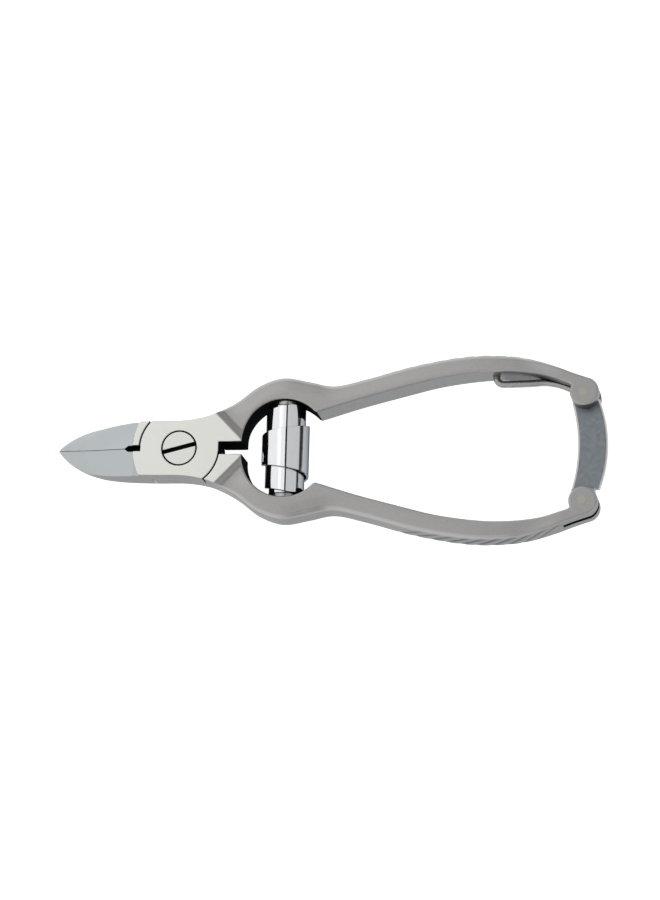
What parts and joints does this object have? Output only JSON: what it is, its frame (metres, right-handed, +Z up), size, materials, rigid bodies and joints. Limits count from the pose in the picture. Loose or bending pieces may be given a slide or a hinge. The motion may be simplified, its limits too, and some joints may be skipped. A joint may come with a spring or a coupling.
{
  "type": "nail nipper",
  "caption": "Steel toenail nipper with a lap-jointed pair of levers, a barrel spring between the finger bowls and a swinging lock plate at the handle ends.",
  "frame": {"origin": "on the pivot axis, on the flat underside of the joint, where the tool lies on a table", "axes": "+X from the jaws to the handle ends along the closed edges, +Y towards the handle that carries the lock lever, +Z up along the pivot axis"},
  "size_m": [0.14, 0.0476, 0.012],
  "materials": {
    "lever_steel": "satin brushed stainless steel",
    "screw_steel": "ground stainless steel",
    "lock_steel": "pressed stainless steel, slightly darker",
    "spring_chrome": "mirror-polished strip"
  },
  "bodies": {
    "upper": {"upper_lever": "lever_steel", "upper_spring_stud": "screw_steel", "lock_hinge_pin": "screw_steel", "lock_spring": "lock_steel", "barrel_spring": "spring_chrome"},
    "lower": {"lower_lever": "lever_steel", "lower_spring_stud": "screw_steel", "lock_catch_pin": "screw_steel", "pivot_screw": "screw_steel"},
    "lock": {"lock_lever": "lock_steel"}
  },
  "joints": [
    {"name": "handles_open", "type": "hinge", "parent": "upper", "child": "lower", "pos_m": [0, 0, 0], "axis": [0, 0, -1], "range_deg": [0, 16], "deforming": ["barrel_spring"]},
    {"name": "lock_swing", "type": "hinge", "parent": "upper", "child": "lock", "pos_m": [0.1021, 0.0137, 0], "axis": [0, 0, 1], "range_deg": [0, 80]}
  ],
  "couplings": [
    {"joint": "lock_swing", "follows": "handles_open", "ratio": 5}
  ]
}
